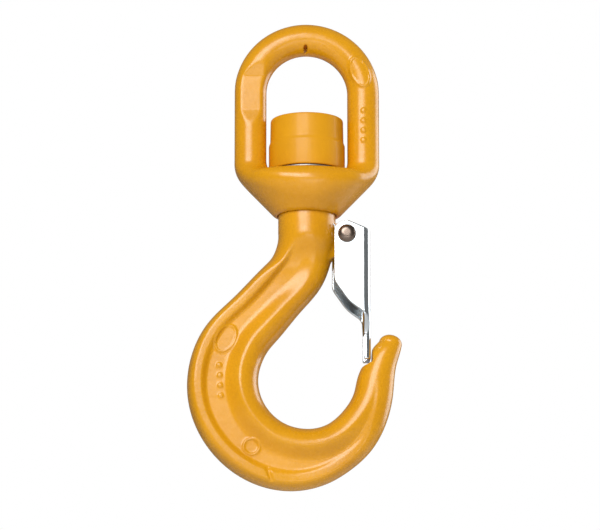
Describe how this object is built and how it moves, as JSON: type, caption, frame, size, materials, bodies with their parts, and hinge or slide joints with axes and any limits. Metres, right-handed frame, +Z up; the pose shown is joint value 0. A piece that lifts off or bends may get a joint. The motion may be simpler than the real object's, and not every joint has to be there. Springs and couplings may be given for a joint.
{
  "type": "swivel hook",
  "caption": "Forged eye hook on a bearing swivel, with a ribbed C-shaped body and a sprung sheet-metal safety latch across the throat.",
  "frame": {"origin": "point on the inside of the eye's crown where the load bears", "axes": "+Z up along the swivel axis, +X towards the hook's opening, +Y to the back"},
  "size_m": [0.1082, 0.052, 0.2427],
  "materials": {
    "painted_forging": "glossy",
    "zinc_plate": "bright",
    "dark_steel": "satin",
    "bearing_steel": "ground",
    "bronze": "machined",
    "seal_rubber": "matte"
  },
  "bodies": {
    "eye": {"eye_forging": "painted_forging", "shaft_bush": "bronze", "thrust_washer": "bearing_steel", "lower_race": "bearing_steel"},
    "hook": {"hook_forging": "painted_forging", "upper_race": "bearing_steel", "swivel_nut": "bearing_steel", "nut_lock_pin": "dark_steel", "bearing_shroud": "painted_forging", "dust_seal": "seal_rubber", "neck_seal": "seal_rubber", "latch_rivet": "dark_steel", "spring_sleeves": "bearing_steel", "latch_spring": "bearing_steel"},
    "cage": {"ball_cage": "bronze", "bearing_balls": "bearing_steel"},
    "latch": {"latch_plate": "zinc_plate"}
  },
  "joints": [
    {"name": "swivel", "type": "hinge", "parent": "eye", "child": "hook", "pos_m": [0, 0, -0.0626], "axis": [0, 0, 1], "continuous": true},
    {"name": "cage_turn", "type": "hinge", "parent": "eye", "child": "cage", "pos_m": [0, 0, -0.0579], "axis": [0, 0, 1], "continuous": true},
    {"name": "latch_hinge", "type": "hinge", "parent": "hook", "child": "latch", "pos_m": [0.0197, 0, -0.096], "axis": [0, 1, 0], "range_deg": [0, 30], "stiffness_Nm_per_rad": 0.12, "springref_deg": -57.3, "deforming": ["latch_spring"]}
  ],
  "couplings": [
    {"joint": "cage_turn", "follows": "swivel", "ratio": 0.5}
  ]
}
